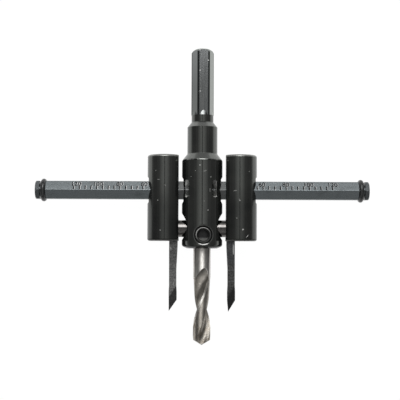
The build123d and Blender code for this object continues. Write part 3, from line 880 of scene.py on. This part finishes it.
def numberMesh(name, numbers, shift, lift, material):
    joined = bpy.data.meshes.new(name)
    points, faces = [], []
    for centre, figures in numbers:
        curve = bpy.data.curves.new(name, "FONT")
        curve.body = figures
        curve.align_x = "CENTER"
        curve.size = scaleLook["numberHeight"] / scaleLook["heightOfFont"]
        curve.extrude = thick / 2
        curve.offset = scaleLook["stroke"]
        curve.resolution_u = scaleLook["curveSteps"]
        writing = bpy.data.objects.new(name, curve)
        bpy.context.scene.collection.objects.link(writing)
        plain = plainMesh(writing)
        place = Vector((centre * mm + shift, 0, 0)) + faceFoot + faceUp * scaleLook["numberStart"]
        place += faceNormal * (middleLift + lift)
        standing = Matrix.Translation(place) @ faceFrame
        first = len(points)
        points += [standing @ vertex.co for vertex in plain.vertices]
        faces += [[first + index for index in polygon.vertices] for polygon in plain.polygons]
        bpy.data.objects.remove(writing)
        bpy.data.meshes.remove(plain)
        bpy.data.curves.remove(curve)
    joined.from_pydata(points, [], faces)
    joined.materials.append(material)
    return joined


for side in ("right", "left"):
    numbers = scaleLook[side]["numbers"]
    figures = numberMesh(f"{side}Numbers", numbers, 0, scaleLook["numberLift"], grooveDark)
    placePiece(f"scale_{side}_numbers", figures, "body")
    shift, lift = scaleLook["numberLipShift"], scaleLook["numberLipLift"]
    lipHighlightMesh = numberMesh(f"{side}NumberLips", numbers, shift, lift, lipHighlights[side])
    placePiece(f"scale_{side}_number_lip_highlights", lipHighlightMesh, "body")
print("scene: scale engraved")

# Floor: pale, and glowing to the camera and in the steel, less so further out
floorLook = {
    "halfSize": 7.0,
    "colour": (0.82, 0.82, 0.82),
    "paler": (0.84, 0.84, 0.84),
    "tint": {"scale": 3.0, "detail": 2.0},
    "roughness": 0.9,
    "glow": 0.95,
    "fadeFrom": (0.1, 0.36),
    "strength": (1.04, 0.45),
}
floorMesh = bpy.data.meshes.new("floor")
half = floorLook["halfSize"]
corners = [(-half, -half, 0), (half, -half, 0), (half, half, 0), (-half, half, 0)]
floorMesh.from_pydata(corners, [], [(0, 1, 2, 3)])
floor = bpy.data.objects.new("floor", floorMesh)
bpy.context.scene.collection.objects.link(floor)
floorMaterial, tree, shader = newMaterial("floorPale")
coords = objectCoords(tree)
tint = noise(tree, coords, **floorLook["tint"])
plug(tree, mixColour(tree, tint, floorLook["colour"], floorLook["paler"]), shader.inputs["Base Color"])
shader.inputs["Roughness"].default_value = floorLook["roughness"]
shader.inputs["Specular IOR Level"].default_value = 0.0
glow = tree.nodes.new("ShaderNodeEmission")
strength = rangeOf(tree, lengthOf(tree, coords), *floorLook["fadeFrom"], *floorLook["strength"], True)
plug(tree, strength, glow.inputs["Strength"])
rays = tree.nodes.new("ShaderNodeLightPath").outputs
seen = larger(tree, rays["Is Camera Ray"], rays["Is Glossy Ray"])
seen = larger(tree, seen, rays["Is Transmission Ray"])
blend = tree.nodes.new("ShaderNodeMixShader")
plug(tree, times(tree, seen, floorLook["glow"]), blend.inputs[0])
plug(tree, shader.outputs[0], blend.inputs[1])
plug(tree, glow.outputs[0], blend.inputs[2])
plug(tree, blend.outputs[0], tree.nodes["Material Output"].inputs["Surface"])
floorMesh.materials.append(floorMaterial)

# Lights, a metre off: two soft boxes above the shank, two fills, and graded strips either side of the camera.
# up is the angle from the camera's axis towards the shank, side the angle to the right, all in degrees
softBoxes = {
    "keyBox": {"up": (20, 53), "side": (-13, 13), "radiance": 4.2},
    "widerKey": {"up": (18, 53), "side": (-26, 26), "radiance": 2.4},
    "upperFill": {"up": (58, 74), "side": (-40, 40), "radiance": 1.15},
    "lowerFill": {"up": (-68, -50), "side": (-40, 40), "radiance": 0.36},
}
stripLook = {
    "up": (-49, 17),
    "edges": (2.5, 12.0, 20.0, 27.0, 33.0, 50.0),
    "radiance": (0.7, 0.56, 0.38, 0.22, 0.06),
}
for index, radiance in enumerate(stripLook["radiance"]):
    inner, outer = stripLook["edges"][index:index + 2]
    for name, side in (("right", (inner, outer)), ("left", (-outer, -inner))):
        softBoxes[f"{name}Strip{index}"] = {"up": stripLook["up"], "side": side, "radiance": radiance}
for name, box in softBoxes.items():
    light = bpy.data.lights.new(name, "AREA")
    light.shape = "RECTANGLE"
    up, side = (math.radians(sum(box[part]) / 2) for part in ("up", "side"))
    spans = (math.radians(box[part][1] - box[part][0]) for part in ("side", "up"))
    light.size, light.size_y = (2 * math.tan(span / 2) for span in spans)
    light.energy = box["radiance"] * math.pi * light.size * light.size_y
    lamp = bpy.data.objects.new(name, light)
    way = Vector((math.sin(side) * math.cos(up), math.sin(up), math.cos(side) * math.cos(up)))
    lamp.location = way
    across = Vector((0, 1, 0)).cross(way).normalized()
    lamp.rotation_euler = Matrix((across, way.cross(across), way)).transposed().to_euler()
    bpy.context.scene.collection.objects.link(lamp)

# World: dim overhead, pale down at the horizon
worldLook = {"overhead": 0.135, "horizon": 0.3, "blend": (0.0, 0.26)}
world = bpy.data.worlds.new("studio")
world.use_nodes = True
bpy.context.scene.world = world
tree = world.node_tree
sky = tree.nodes["Background"]
direction = tree.nodes.new("ShaderNodeTexCoord")
height = axesOf(tree, direction.outputs["Generated"])[2]
level = rangeOf(tree, height, *worldLook["blend"], worldLook["horizon"], worldLook["overhead"], True)
plug(tree, level, sky.inputs["Strength"])
sky.inputs["Color"].default_value = (1, 1, 1, 1)

# Camera
cameraLook = {
    "distance": 0.42,
    "pitch": 3.0,
    "roll": 0.25,
    "target": (-0.00085, -0.00172, 0.00885),
    "seenWidth": 0.1744,
    "sensor": 36,
    "clipStart": 0.01,
}
camera = bpy.data.objects.new("camera", bpy.data.cameras.new("camera"))
bpy.context.scene.collection.objects.link(camera)
pitch = math.radians(cameraLook["pitch"])
back = Vector((0, -math.sin(pitch), math.cos(pitch)))
camera.location = Vector(cameraLook["target"]) + back * cameraLook["distance"]
camera.rotation_euler = (pitch, 0, math.radians(cameraLook["roll"]))
camera.data.sensor_width = cameraLook["sensor"]
camera.data.lens = cameraLook["sensor"] * cameraLook["distance"] / cameraLook["seenWidth"]
camera.data.clip_start = cameraLook["clipStart"]
bpy.context.scene.camera = camera
bpy.context.scene.view_settings.view_transform = "Standard"
print("scene: stage set")
